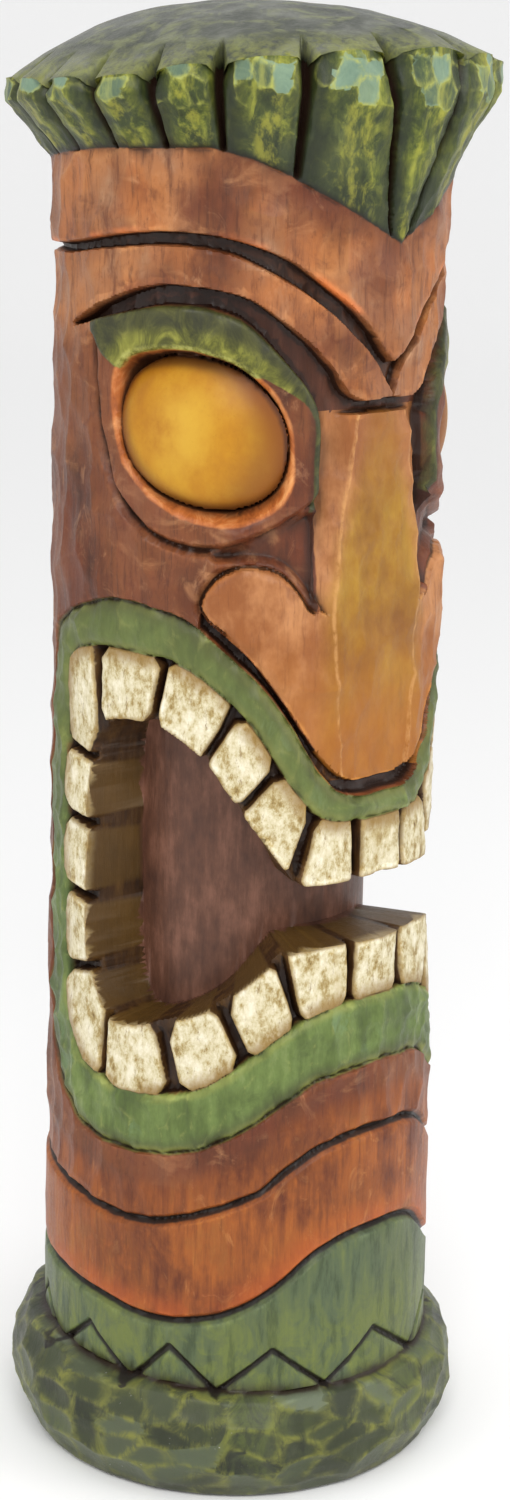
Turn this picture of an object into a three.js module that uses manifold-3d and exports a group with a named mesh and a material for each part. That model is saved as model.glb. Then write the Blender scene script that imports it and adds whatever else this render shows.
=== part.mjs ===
// Tiki statue: a garden figure cast in one piece, in the shape of a carved log with a face.
// Millimetres, +Z up. The face looks along -Y and the origin is the middle of the underside.
//
// The log is turned first. Raised panels and pockets are flat outlines that are wrapped round it,
// and they are joined to it or cut from it. An outline is a list of [angle, share] points: the
// angle is in degrees from the middle of the face towards the figure's right side, and the share
// is a height in thousandths of SHARED_HEIGHT. The carving is the same on both sides of the face.

import * as THREE from "three";
import { ConvexGeometry } from "three/addons/geometries/ConvexGeometry.js";
import { TessellateModifier } from "three/addons/modifiers/TessellateModifier.js";
import { mergeVertices } from "three/addons/utils/BufferGeometryUtils.js";
import Module from "manifold-3d";

const wasm = await Module();
wasm.setup();

// Whole figure
const HEIGHT = 1506;
const SHARED_HEIGHT = 1500;
const LOG_RADIUS = 205;
const LOG_TAPER = 14.5;

// Foot: a rough stone ring that the log stands in
const FOOT_RADIUS = 247;
const FOOT_SET_BACK = 3;
const FOOT_HEIGHT = 114;
const FOOT_RISE_AT_BACK = 21;
const FOOT_COLUMNS = 36;
const FOOT_CHIP = 3;

// Crown: leaves under a low dome
const CROWN_RADIUS = 249;
const DOME_CURVE = 2.4;
const LEAF_NOTCH = 15;
const LEAF_NOTCH_TURN = 2.2;
const LEAF_THICKNESS = 4;

// Carved layers, measured outwards from the log's own surface
const BAND_LAYER = 4;
const SOCKET_LAYER = -20;
const LID_LAYER = 3;
const EYE_POCKET_LAYER = -28;
const VALLEY_LAYER = -16;
const WING_LAYER = 3;
const LIP_LAYER = 2;
const GUM_LAYER = -18;
const TOOTH_LAYER = -7;

// Face
const NOSE_FRONT = 191;
const NOSE_FOOT_TURN = 24.5;
const BRIDGE_LAP = 9;
const EYEBALL = { turn: 58, height: 1099, width: 170, tall: 164, depth: 112, front: 205 };
const MOUTH_CORE_RADIUS = 130;

// Cut lines
const BAND_GROOVE_DEPTH = 14;
const BAND_GROOVE_LAP = 1.5;
const LID_GROOVE = { width: 9, depth: 8 };
const WAVE_GROOVE = { width: 9, depth: 6 };
const ZIGZAG_GROOVE = { width: 7, depth: 5 };
const ZIGZAG_PEAKS = 12;
const ZIGZAG_HEIGHT = 46;

// How finely curved faces are divided, and how far one piece runs into the next
const LOG_COLUMNS = 34;
const WIDEST_TURN = 15;
const PANEL_EDGE = 64;
const PANEL_SQUASH = 0.05;
const BURIED = 24;
const CLEAR = 60;
const LID_LAP = 6;

const HALF_TURN = 180;
const DEGREE = Math.PI / HALF_TURN;
const ARC = LOG_RADIUS * DEGREE;

const { lerp } = THREE.MathUtils;
const inShares = (points) => points.map(([angle, share]) => [angle, (share * SHARED_HEIGHT) / 1000]);
const logRadius = (height) => LOG_RADIUS + LOG_TAPER * (0.5 - height / SHARED_HEIGHT);

function around(angle, radius, height) {
  const turn = angle * DEGREE;
  return new THREE.Vector3(-radius * Math.sin(turn), -radius * Math.cos(turn), height);
}

// The value at an angle in a list of [angle, value] points, in a straight line between points
function valueAt(points, angle) {
  const next = points.findIndex(([a]) => a >= angle);
  if (next <= 0) return points.at(next)[1];
  const [a0, v0] = points[next - 1];
  const [a1, v1] = points[next];
  return THREE.MathUtils.mapLinear(angle, a0, a1, v0, v1);
}

// A repeatable number from -1 to 1 for the chips of a rough surface
function chip(column, row) {
  const value = Math.sin(column * 12.9898 + row * 78.233) * 43758.5453;
  return 2 * (value - Math.floor(value)) - 1;
}

// Solids

function solid(geometry, insideOut = false) {
  const bare = geometry.clone();
  for (const name of ["normal", "uv"]) bare.deleteAttribute(name);
  const merged = mergeVertices(bare, 1e-3);
  const triangles = [];
  for (let i = 0; i < merged.index.count; i += 3) {
    const [a, b, c] = [0, 1, 2].map((corner) => merged.index.getX(i + corner));
    if (a === b || b === c || c === a) continue;
    triangles.push(a, ...(insideOut ? [c, b] : [b, c]));
  }
  const mesh = new wasm.Mesh({
    numProp: 3,
    vertProperties: new Float32Array(merged.attributes.position.array),
    triVerts: new Uint32Array(triangles),
  });
  return new wasm.Manifold(mesh);
}

const joined = (pieces) => pieces.reduce((all, piece) => all.add(piece));
const onBothSides = (piece) => piece.add(piece.mirror([1, 0, 0]));

// A solid turned about the upright axis, whose profile changes with the angle. Each profile is a
// list of [radius, height] points, up from the middle of the underside to the middle of the top,
// or once round the section of a belt, which closes on itself.
function turned(angles, profileAt) {
  const columns = angles.map((angle) => profileAt(angle).map(([r, height]) => around(angle, r, height)));
  const rows = columns[0].length;
  const faces = [];
  for (let column = 0; column < columns.length; column++) {
    const here = column * rows;
    const next = ((column + 1) % columns.length) * rows;
    for (let row = 0; row < rows; row++) {
      const above = (row + 1) % rows;
      faces.push(here + row, next + row, next + above);
      faces.push(here + row, next + above, here + above);
    }
  }
  const skin = new THREE.BufferGeometry().setFromPoints(columns.flat());
  skin.setIndex(faces);
  return solid(skin, true);
}

const evenTurns = (count) => Array.from({ length: count }, (_, i) => ((i + 0.5) * 360) / count);
const fromFront = (angle) => Math.min(angle, 360 - angle);

// The angles of some lines on both sides of the face, and more where they are far apart
function turnsOf(...lines) {
  const right = [...new Set(lines.flat().map(([angle]) => angle))].sort((a, b) => a - b);
  const filled = right.flatMap((angle, i) => {
    const gap = i > 0 ? angle - right[i - 1] : 0;
    const steps = Math.max(1, Math.ceil(gap / WIDEST_TURN));
    return Array.from({ length: steps }, (_, k) => angle - gap + (gap * (k + 1)) / steps);
  });
  const left = filled.filter((angle) => angle > 0 && angle < HALF_TURN).map((angle) => 360 - angle);
  return [...filled, ...left.reverse()];
}

// A flat outline in degrees and millimetres, wrapped round the log from one layer to another.
// It is squashed while it is divided, so that only edges that run round the log are divided.
function plate(outline, from, to) {
  const shape = new THREE.Shape(outline.map(([angle, height]) => new THREE.Vector2(angle * ARC, height)));
  const flat = new THREE.ExtrudeGeometry(shape, { depth: to - from, bevelEnabled: false });
  flat.translate(0, 0, from).scale(1, PANEL_SQUASH, PANEL_SQUASH);
  const divided = new TessellateModifier(PANEL_EDGE, 12).modify(flat);
  divided.scale(1, 1 / PANEL_SQUASH, 1 / PANEL_SQUASH);
  const place = divided.attributes.position;
  for (let i = 0; i < place.count; i++) {
    const height = place.getY(i);
    const point = around(place.getX(i) / ARC, logRadius(height) + place.getZ(i), height);
    place.setXYZ(i, point.x, point.y, point.z);
  }
  return solid(divided, true);
}

// The outline of a band across the face, from the half of it on the figure's right
function acrossFace(half) {
  const beside = half.filter(([angle]) => angle > 0).reverse();
  return [...half, ...beside.map(([angle, height]) => [-angle, height])];
}

// The outline of a narrow strip along a line
function strip(line, width) {
  const points = line.map(([angle, height]) => new THREE.Vector2(angle * ARC, height));
  const sides = [1, -1].map((side) =>
    points.map((point, i) => {
      const before = points[Math.max(i - 1, 0)];
      const after = points[Math.min(i + 1, points.length - 1)];
      const along = after.clone().sub(before).setLength((side * width) / 2);
      return [(point.x - along.y) / ARC, point.y + along.x];
    }),
  );
  return [...sides[0], ...sides[1].reverse()];
}

const groove = (line, { width, depth }) => plate(strip(line, width), -depth, CLEAR);

// A notch of triangular section all the way round the log, along a line
function roundNotch(line, { width, depth }) {
  return turned(turnsOf(line), (angle) => {
    const height = valueAt(line, fromFront(angle));
    const surface = logRadius(height);
    return [
      [surface - depth, height],
      [surface + depth, height - width],
      [surface + depth, height + width],
    ];
  });
}

// Cuts a flat away from the front: the hull of some [x, y, height] points drawn out forwards
function frontFlat(points) {
  const face = points.map((point) => new THREE.Vector3(...point));
  const ahead = face.map((point) => point.clone().setY(-LOG_RADIUS - CLEAR));
  return solid(new ConvexGeometry([...face, ...ahead]));
}

// Log and foot

function log() {
  const low = FOOT_HEIGHT / 2;
  const high = HEIGHT * 0.96;
  return turned(evenTurns(LOG_COLUMNS), () => [
    [0, low],
    [logRadius(low), low],
    [logRadius(high), high],
    [0, high],
  ]);
}

const FOOT_PROFILE = [
  [0.87, 0],
  [0.94, 0.15],
  [1, 0.5],
  [0.99, 0.76],
  [0.94, 0.94],
  [0.86, 1],
];

function foot() {
  return turned(evenTurns(FOOT_COLUMNS), (angle) => {
    const column = Math.floor((fromFront(angle) * FOOT_COLUMNS) / 360);
    const behind = -Math.cos(angle * DEGREE);
    const radius = FOOT_RADIUS + FOOT_SET_BACK * behind;
    const height = FOOT_HEIGHT + (FOOT_RISE_AT_BACK * (1 + behind)) / 2;
    const ring = FOOT_PROFILE.map(([out, up], row) => {
      const rough = row > 0 ? FOOT_CHIP * chip(column, row) : 0;
      return [out * radius + rough, up * height];
    });
    return [[0, 0], ...ring, [0, FOOT_HEIGHT]];
  });
}

// Crown

// Half the width of each leaf, from the wide one in front to the last before the back
const LEAF_HALF_TURNS = [13, 10, 10, 8, 8, 8, 8, 7.9, 7.9, 7.9, 7.9];
const LEAF_TIP = inShares([
  [0, 854],
  [19, 877],
  [34, 895],
  [44, 905],
  [56, 912],
  [90, 910],
  [135, 901],
  [HALF_TURN, 900],
]);
const LEAF_TOP = inShares([
  [0, 975],
  [29, 971],
  [49, 966],
  [63, 961],
  [77, 955],
  [100, 952],
  [HALF_TURN, 952],
]);
const LEAF_FACE = [
  [0.38, 0.3],
  [0.95, 0.72],
];
const DOME_ROWS = [0.88, 0.68, 0.42];

// Angles round the crown, each with 1 at a notch between two leaves and 0 on a leaf: three to a
// leaf, just inside its edges and at its middle, and one to a notch
function leafAngles() {
  const half = [];
  let edge = -LEAF_HALF_TURNS[0];
  for (const turn of LEAF_HALF_TURNS) {
    const middle = edge + turn;
    const inner = turn - LEAF_NOTCH_TURN;
    edge += 2 * turn;
    half.push([middle - inner, 0], [middle, 0], [middle + inner, 0], [edge, 1]);
  }
  const right = half.filter(([angle]) => angle > 0 && angle < HALF_TURN);
  const left = right.map(([angle, notch]) => [360 - angle, notch]).reverse();
  return new Map([[0, 0], ...right, ...left]);
}

function crown() {
  const notches = leafAngles();
  return turned([...notches.keys()], (angle) => {
    const side = Math.min(angle, 360 - angle);
    const notch = notches.get(angle) * LEAF_NOTCH;
    const tip = valueAt(LEAF_TIP, side) + notch * 0.6;
    const rim = valueAt(LEAF_TOP, side);
    const top = rim - notch * 0.7;
    const wall = logRadius(tip) + LEAF_THICKNESS;
    const face = LEAF_FACE.map(([out, up]) => [lerp(wall, CROWN_RADIUS, out) - notch, lerp(tip, top, up)]);
    const dome = DOME_ROWS.map((out) => [out * CROWN_RADIUS, lerp(HEIGHT, rim, out ** DOME_CURVE)]);
    return [
      [0, LEAF_TIP.at(-1)[1]],
      [wall - BURIED, tip],
      [wall - notch * 0.3, tip],
      ...face,
      [CROWN_RADIUS - notch, top],
      ...dome,
      [0, HEIGHT],
    ];
  });
}

// Forehead

const BAND_EDGE = inShares([
  [0, 779],
  [4, 787],
  [11, 806],
  [24, 829],
  [36, 847],
  [52, 858],
  [67, 861],
  [84, 858],
  [105, 850],
  [130, 846],
  [HALF_TURN, 846],
]);
const BAND_GROOVE_EDGE = inShares([
  [0, 758],
  [5, 779],
  [13, 795],
  [25, 819],
  [39, 837],
  [52, 850],
  [70, 853],
  [93, 848],
  [113, 842],
  [HALF_TURN, 843],
]);

function foreheadBand() {
  return turned(turnsOf(BAND_EDGE, LEAF_TIP), (angle) => {
    const low = valueAt(BAND_EDGE, fromFront(angle));
    const high = valueAt(LEAF_TIP, fromFront(angle)) + BURIED;
    return [
      [logRadius(low) - BURIED, low],
      [logRadius(low) + BAND_LAYER, low],
      [logRadius(high) + BAND_LAYER, high],
      [logRadius(high) - BURIED, high],
    ];
  });
}

// The groove under the band dies away towards the back
function foreheadGroove() {
  return turned(turnsOf(BAND_EDGE, BAND_GROOVE_EDGE), (angle) => {
    const high = valueAt(BAND_EDGE, fromFront(angle)) + BAND_GROOVE_LAP;
    const low = valueAt(BAND_GROOVE_EDGE, fromFront(angle));
    const floor = logRadius(low) - (BAND_GROOVE_DEPTH * (high - low)) / (high - low + BAND_GROOVE_LAP);
    return [
      [floor, low],
      [floor + CLEAR, low],
      [floor + CLEAR, high],
      [floor, high],
    ];
  });
}

// Eyes

const BROW_EDGE = inShares([
  [0, 757],
  [10, 754],
  [16, 760],
  [21, 777],
  [27, 791],
  [38, 810],
  [46, 821],
  [57, 826],
  [72, 828],
  [86, 819],
  [100, 806],
  [109, 796],
]);
const LID_EDGE = inShares([
  [25, 618],
  [25, 680],
  [24, 723],
  [24.5, 748],
  [27, 761],
  [33, 778],
  [46, 807],
  [58, 815],
  [71, 815],
  [86, 808],
  [100, 800],
]);
const NOSE_SIDE = inShares([
  [12, 618],
  [9, 700],
  [7, 747],
  [0, 747],
]);
const LID_INNER = inShares([
  [90, 775],
  [70, 760],
  [50, 750],
  [38, 715],
  [37, 680],
]);
const EYE_OPENING = inShares([
  [33, 701],
  [33, 735],
  [37, 757],
  [46, 777],
  [58, 787],
  [70, 788],
  [82, 783],
  [87, 770],
  [87, 743],
  [82, 712],
  [73, 692],
  [62, 681],
  [50, 677],
  [39, 685],
]);
const LOWER_LID = inShares([
  [24, 694],
  [33, 679],
  [46, 665],
  [58, 659],
  [70, 664],
  [82, 681],
  [89, 707],
  [94, 741],
  [95.5, 790],
]);

function socket() {
  const half = [...BROW_EDGE, ...LID_EDGE.toReversed(), ...NOSE_SIDE];
  return plate(acrossFace(half), SOCKET_LAYER, CLEAR);
}

// The lid starts out too wide: the socket trims its outer edge and the eye's pocket its inner one
function lid() {
  const edge = LID_EDGE.slice(1).map(([angle, height]) => [angle - 1, height + LID_LAP]);
  return plate([...edge, ...LID_INNER], -BURIED, LID_LAYER);
}

// The hollow between the lower lid, the nose and its wing
const VALLEY = inShares([
  [24, 622],
  [24, 688],
  [33, 677],
  [45, 664],
  [56, 657],
  [50, 653],
  [44, 655],
  [35, 652],
  [29, 640],
]);

const valley = () => plate(VALLEY, VALLEY_LAYER, CLEAR);

function eyeball() {
  const { turn, height, width, tall, depth, front } = EYEBALL;
  const ball = new THREE.SphereGeometry(0.5, 18, 10).scale(width, depth, tall);
  ball.rotateZ(-turn * DEGREE);
  const place = around(turn, front - depth / 2, height);
  return solid(ball.translate(place.x, place.y, place.z));
}

// Nose

// Half the width of the flat front at each height, from the bridge to the tip
const NOSE_FRONT_EDGE = [
  [35, 1121],
  [56, 1006],
  [64, 925],
  [46, 757],
];
const NOSE_FOOT = [
  [174, 1121],
  [181, 1006],
  [189, 925],
  [150, 757],
];
const WING = inShares([
  [0, 505],
  [13.5, 505],
  [24, 529],
  [33, 560],
  [39, 579],
  [45, 595],
  [51, 606],
  [57, 616],
  [59, 626],
  [54, 644],
  [46, 652],
  [36, 649],
  [30, 637],
  [25, 617],
  [0, 617],
]);

// Its inner edge laps the nose's own flat
const WING_FLAT = [
  [58, -NOSE_FRONT, 925],
  [40, -NOSE_FRONT, 750],
  [88, -184, 785],
  [132, -163, 925],
];

// The nose stands on the log with slanted sides. Its foot is deepest at the bridge.
function noseBlock() {
  const front = NOSE_FRONT_EDGE.map(([x, height]) => new THREE.Vector3(x, -NOSE_FRONT, height));
  const foot = NOSE_FOOT.map(([radius, height]) => around(-NOSE_FOOT_TURN, radius, height));
  const half = [...front, ...foot];
  const other = half.map((point) => point.clone().setX(-point.x));
  return solid(new ConvexGeometry([...half, ...other]));
}

// The log and the wings are cut flat in front, where the nose's own flat meets them
function noseFlats() {
  const [half, bridge] = NOSE_FRONT_EDGE[0];
  const corners = [...NOSE_FRONT_EDGE, [half, bridge + BRIDGE_LAP]].flatMap(([x, height]) => [
    [x, -NOSE_FRONT, height],
    [-x, -NOSE_FRONT, height],
  ]);
  return frontFlat(corners).add(onBothSides(frontFlat(WING_FLAT)));
}

// Mouth

const LIP_OUTER = inShares([
  [0, 495],
  [16, 495],
  [25, 521],
  [32, 549],
  [40, 573],
  [49, 591],
  [61, 615],
  [76, 623],
  [88, 624],
  [98, 617],
  [109, 608],
  [119, 596],
  [125, 572],
  [127, 540],
  [127, 330],
  [119, 286],
  [108, 262],
  [97, 247],
  [77, 243],
  [61, 247],
  [48, 259],
  [34, 280],
  [22, 300],
  [0, 305],
]);
const LIP_INNER = inShares([
  [0, 478],
  [21, 478],
  [30, 501],
  [36, 522],
  [42, 544],
  [50, 563],
  [59, 580],
  [68, 588],
  [88, 591],
  [103, 585],
  [110, 570],
  [111, 363],
  [107, 322],
  [99, 298],
  [86, 286],
  [69, 286],
  [55, 295],
  [43, 315],
  [30, 339],
  [17, 351],
  [0, 352],
]);
const MOUTH = inShares([
  [0, 438],
  [28, 434],
  [32, 445],
  [45, 485],
  [55, 518],
  [60, 528],
  [71, 545],
  [91, 541],
  [97, 514],
  [97, 371],
  [91, 343],
  [85, 332],
  [71, 337],
  [52, 353],
  [35, 385],
  [31, 393],
  [0, 394],
]);

// The right half of the middle tooth of each row. Roots run into the lips and tips into the
// mouth, which is cut out last.
const MIDDLE_TEETH = [
  [[0, 482], [9, 482], [9, 430], [0, 430]],
  [[0, 401], [9, 401], [9, 347], [0, 347]],
].map(inShares);

// The teeth of the right side, down from the upper row's middle and back along the lower row
const SIDE_TEETH = [
  [[10, 482], [22, 486], [28.5, 428], [10, 430]],
  [[25, 492], [33, 515], [47, 481], [33.5, 438]],
  [[35, 524], [44.5, 555], [57, 516], [48, 488]],
  [[48, 567], [66, 593], [71, 540], [60, 521], [55, 530]],
  [[69, 592], [92, 594], [91, 534], [74, 540]],
  [[94, 592], [105, 588], [112, 560], [112, 521], [95, 512]],
  [[112, 512], [112, 474], [94, 469], [94, 507]],
  [[112, 464], [112, 421], [94, 418], [94, 458]],
  [[112, 411], [112, 362], [94, 370], [94, 407]],
  [[109, 354], [109, 326], [101, 298], [91, 285], [88, 340], [93, 361]],
  [[88, 331], [87, 282], [66, 283], [72, 341], [86, 336]],
  [[66, 338], [61, 287], [44, 308], [53.5, 358]],
  [[49, 358], [40, 314], [28, 335], [36.5, 390]],
  [[31, 393], [26, 337], [12, 347], [11, 400], [32, 399]],
].map(inShares);

const lips = () => plate(acrossFace(LIP_OUTER), -BURIED, LIP_LAYER);

function teeth() {
  const tooth = (outline) => plate(outline, -BURIED, TOOTH_LAYER);
  const middle = MIDDLE_TEETH.map((half) => tooth(acrossFace(half)));
  return joined([...middle, ...SIDE_TEETH.map((outline) => onBothSides(tooth(outline)))]);
}

// Cut lines round the lower body

const UPPER_WAVE = inShares([
  [0, 257],
  [7, 257],
  [19, 252],
  [29, 239],
  [38, 222],
  [52, 208],
  [68, 196],
  [82, 194],
  [93, 199],
  [110, 204],
  [135, 210],
  [HALF_TURN, 210],
]);
const LOWER_WAVE = inShares([
  [0, 185],
  [6, 185],
  [14, 182],
  [23, 173],
  [33, 152],
  [47, 133],
  [60, 126],
  [72, 125],
  [86, 131],
  [103, 135],
  [135, 140],
  [HALF_TURN, 140],
]);

function zigzag() {
  const line = Array.from({ length: ZIGZAG_PEAKS + 1 }, (_, i) => [
    (i * HALF_TURN) / ZIGZAG_PEAKS,
    FOOT_HEIGHT + (i % 2 === 0 ? ZIGZAG_HEIGHT : 0),
  ]);
  return roundNotch(line, ZIGZAG_GROOVE);
}

// Statue

function statue() {
  const wing = plate(WING, -BURIED, WING_LAYER);
  const raised = joined([log(), foreheadBand(), onBothSides(wing), onBothSides(lid()), lips()]);
  const carved = raised
    .subtract(foreheadGroove())
    .subtract(socket())
    .subtract(onBothSides(valley()))
    .subtract(onBothSides(plate(EYE_OPENING, EYE_POCKET_LAYER, CLEAR)))
    .subtract(onBothSides(groove(LOWER_LID, LID_GROOVE)))
    .subtract(plate(acrossFace(LIP_INNER), GUM_LAYER, CLEAR))
    .subtract(noseFlats())
    .subtract(roundNotch(UPPER_WAVE, WAVE_GROOVE))
    .subtract(roundNotch(LOWER_WAVE, WAVE_GROOVE))
    .subtract(zigzag());
  const mouth = plate(acrossFace(MOUTH), MOUTH_CORE_RADIUS - LOG_RADIUS, CLEAR);
  return joined([carved, noseBlock(), onBothSides(eyeball()), teeth()])
    .subtract(mouth)
    .add(foot())
    .add(crown());
}

function mesh(piece, name, material) {
  const { vertProperties, triVerts } = piece.getMesh();
  const geometry = new THREE.BufferGeometry();
  geometry.setAttribute("position", new THREE.BufferAttribute(vertProperties, 3));
  geometry.setIndex(new THREE.BufferAttribute(triVerts, 1));
  const part = new THREE.Mesh(geometry, material);
  part.name = name;
  return part;
}

const paintedResin = new THREE.MeshStandardMaterial({ color: 0x9a5a2c, roughness: 0.5, metalness: 0 });

const figure = new THREE.Group();
figure.name = "tiki";
figure.add(mesh(statue(), "tiki_statue", paintedResin));

export default figure;
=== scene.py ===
"""Tiki statue: the painted skin of a hollow garden casting, and the studio that it is shown in.

The skin is one closed grid of points round an upright axis. Every point starts on a plain log,
and the carving moves it in or out. Lengths are in millimetres until the mesh is made.
An outline is a list of (angle, share) points: the angle is in degrees from the middle of the face
towards the figure's right side, and the share is a height in thousandths of SHARED_HEIGHT.
"""

import math

import bpy
import numpy as np
from mathutils import Matrix, Vector


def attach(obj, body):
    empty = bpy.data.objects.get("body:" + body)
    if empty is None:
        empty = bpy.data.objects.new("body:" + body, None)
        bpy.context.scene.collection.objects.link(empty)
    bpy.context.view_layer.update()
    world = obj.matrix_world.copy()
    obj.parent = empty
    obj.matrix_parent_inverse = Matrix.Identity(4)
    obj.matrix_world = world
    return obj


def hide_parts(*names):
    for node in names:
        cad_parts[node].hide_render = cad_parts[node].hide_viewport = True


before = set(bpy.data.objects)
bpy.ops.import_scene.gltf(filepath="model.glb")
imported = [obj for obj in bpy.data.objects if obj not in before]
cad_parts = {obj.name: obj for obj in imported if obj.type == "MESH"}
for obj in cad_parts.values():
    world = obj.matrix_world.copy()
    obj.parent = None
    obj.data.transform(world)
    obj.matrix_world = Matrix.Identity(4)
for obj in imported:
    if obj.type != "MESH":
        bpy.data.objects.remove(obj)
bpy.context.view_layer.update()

# Sizes of the figure

HEIGHT = 1506.0
SHARED_HEIGHT = 1500.0
LOG_RADIUS = 205.0
LOG_TAPER = 14.5
CROWN_RADIUS = 249.0
WIDEST = 248.8
FOOT_RADIUS = 247.0
FOOT_HEIGHT = 114.0
FOOT_RISE_AT_BACK = 21.0
CORE_RADIUS = 130.0
NOSE_FRONT = 191.0
NOSE_LOW, NOSE_HIGH = 757, 1121
ARC = math.radians(LOG_RADIUS)
AROUND_LOG = 360 * ARC
NET_BELOW, NET_TALL = 200, 2200

# How far each layer stands off the log or lies under it, and how far a worn edge drops and reaches

BAND_STANDS, WING_STANDS, LID_STANDS, LIP_STANDS = 4, 4, 3, 2
BAND_WEAR, SOFT_WEAR, LID_WEAR = (2, 5), (6, 13), (3, 6)
GROOVE_DEPTH, SOCKET_DEPTH, VALLEY_DEPTH, POCKET_DEPTH = 13, 20, 18, 28
GUM_DEPTH, TOOTH_DEPTH, CLEFT_DEPTH, NOTCH_DEPTH = 18, 5.5, 17, 15
LEAF_TOP_ROUND = 7
LEAF_FLAT = 0.35

# Gouge marks: how wide and tall each is, and how deep it cuts

WOOD_GOUGE, SMALL_GOUGE, LEAF_GOUGE = (33, 50), (21, 24), (18, 22)
STONE_GOUGE, DOME_GOUGE = (42, 27), (46, 40)
WOOD_CUT, LOW_WOOD_CUT, NOSE_CUT, LIP_CUT, TOOTH_CUT = 4.8, 1.0, 2.2, 3.2, 1.3
STONE_CUT, LEAF_CUT, DOME_CUT = 5.6, 3.6, 1.6

# The grid: degrees between its columns, which lie closer over the face, and mm between its rows

FINE_TURN = 0.42
COARSE_TURN = 0.9
FINE_UNTIL = 132.0
ROW = 1.9
LEAVES_FROM = 1275.0
DOME_ROWS = 90
TRIANGLES = 196000

# Outlines on the log


def shares(*points):
    return np.array([(angle, share * SHARED_HEIGHT / 1000) for angle, share in points])


LEAF_HALF_TURNS = (13, 10, 10, 8, 8, 8, 8, 7.9, 7.9, 7.9, 7.9)
LEAF_TIP = shares(
    (0, 854), (19, 877), (34, 895), (44, 905), (56, 912), (90, 910), (135, 901), (180, 900)
)
LEAF_TOP = shares((0, 975), (29, 971), (49, 966), (63, 961), (77, 955), (100, 952), (180, 952))
BAND_EDGE = shares(
    (0, 779), (4, 787), (11, 806), (24, 829), (36, 847), (52, 858), (67, 861), (84, 858),
    (105, 850), (130, 846), (180, 846),
)
BAND_GROOVE_EDGE = shares(
    (0, 758), (5, 779), (13, 795), (25, 819), (39, 837), (52, 850), (70, 853), (93, 848),
    (113, 842), (180, 843),
)
BROW_EDGE = shares(
    (0, 757), (10, 754), (16, 760), (21, 777), (27, 791), (38, 810), (46, 821), (57, 826),
    (72, 828), (86, 819), (100, 806), (109, 796),
)
LID_EDGE = shares(
    (25, 618), (25, 680), (24, 723), (24.5, 748), (27, 761), (33, 778), (46, 807), (58, 815),
    (71, 815), (86, 808), (100, 800),
)
NOSE_SIDE = shares((12, 618), (9, 700), (7, 747), (0, 747))
LID_INNER = shares((90, 775), (70, 760), (50, 750), (38, 715), (37, 680))
EYE_OPENING = shares(
    (33, 701), (33, 735), (37, 757), (46, 777), (58, 787), (70, 788), (82, 783), (87, 770),
    (87, 743), (82, 712), (73, 692), (62, 681), (50, 677), (39, 685),
)
LOWER_LID = shares(
    (24, 694), (33, 679), (46, 665), (58, 659), (70, 664), (82, 681), (89, 707), (94, 741),
    (95.5, 790),
)
VALLEY = shares(
    (24, 622), (24, 688), (33, 677), (45, 664), (56, 657), (50, 653), (44, 655), (35, 652),
    (29, 640),
)
WING = shares(
    (0, 505), (13.5, 505), (24, 529), (33, 560), (39, 579), (45, 595), (51, 606), (57, 616),
    (59, 626), (54, 644), (46, 652), (36, 649), (30, 637), (25, 617), (0, 617),
)
LIP_OUTER = shares(
    (0, 495), (16, 495), (25, 521), (32, 549), (40, 573), (49, 591), (61, 615), (76, 623),
    (88, 624), (98, 617), (109, 608), (119, 596), (125, 572), (127, 540), (127, 330), (119, 286),
    (108, 262), (97, 247), (77, 243), (61, 247), (48, 259), (34, 280), (22, 300), (0, 305),
)
LIP_INNER = shares(
    (0, 478), (21, 478), (30, 501), (36, 522), (42, 544), (50, 563), (59, 580), (68, 588),
    (88, 591), (103, 585), (110, 570), (111, 363), (107, 322), (99, 298), (86, 286), (69, 286),
    (55, 295), (43, 315), (30, 339), (17, 351), (0, 352),
)
MOUTH = shares(
    (0, 438), (28, 434), (32, 445), (45, 485), (55, 518), (60, 528), (71, 545), (91, 541),
    (97, 514), (97, 371), (91, 343), (85, 332), (71, 337), (52, 353), (35, 385), (31, 393),
    (0, 394),
)
MIDDLE_TEETH = [
    shares((0, 482), (9, 482), (9, 430), (0, 430)),
    shares((0, 401), (9, 401), (9, 347), (0, 347)),
]
SIDE_TEETH = [
    shares((10, 482), (22, 486), (28.5, 428), (10, 430)),
    shares((25, 492), (33, 515), (47, 481), (33.5, 438)),
    shares((35, 524), (44.5, 555), (57, 516), (48, 488)),
    shares((48, 567), (66, 593), (71, 540), (60, 521), (55, 530)),
    shares((69, 592), (92, 594), (91, 534), (74, 540)),
    shares((94, 592), (105, 588), (112, 560), (112, 521), (95, 512)),
    shares((112, 512), (112, 474), (94, 469), (94, 507)),
    shares((112, 464), (112, 421), (94, 418), (94, 458)),
    shares((112, 411), (112, 362), (94, 370), (94, 407)),
    shares((109, 354), (109, 326), (101, 298), (91, 285), (88, 340), (93, 361)),
    shares((88, 331), (87, 282), (66, 283), (72, 341), (86, 336)),
    shares((66, 338), (61, 287), (44, 308), (53.5, 358)),
    shares((49, 358), (40, 314), (28, 335), (36.5, 390)),
    shares((31, 393), (26, 337), (12, 347), (11, 400), (32, 399)),
]
UPPER_WAVE = shares(
    (0, 257), (7, 257), (19, 252), (29, 239), (38, 222), (52, 208), (68, 196), (82, 194),
    (93, 199), (110, 204), (135, 210), (180, 210),
)
LOWER_WAVE = shares(
    (0, 185), (6, 185), (14, 182), (23, 173), (33, 152), (47, 133), (60, 126), (72, 125),
    (86, 131), (103, 135), (135, 140), (180, 140),
)
ZIGZAG_TURNS = (0, 18, 34, 50, 64, 76, 92, 107, 122, 136, 151, 165, 180)
ZIGZAG_TALL = 46.0
ZIGZAG = np.array(
    [(turn, FOOT_HEIGHT + (0.0 if i % 2 else ZIGZAG_TALL)) for i, turn in enumerate(ZIGZAG_TURNS)]
)
WING_TOP = shares(
    (25, 617), (30, 637), (36, 649), (46, 652), (54, 644), (59, 626), (57, 616), (51, 606)
)

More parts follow.
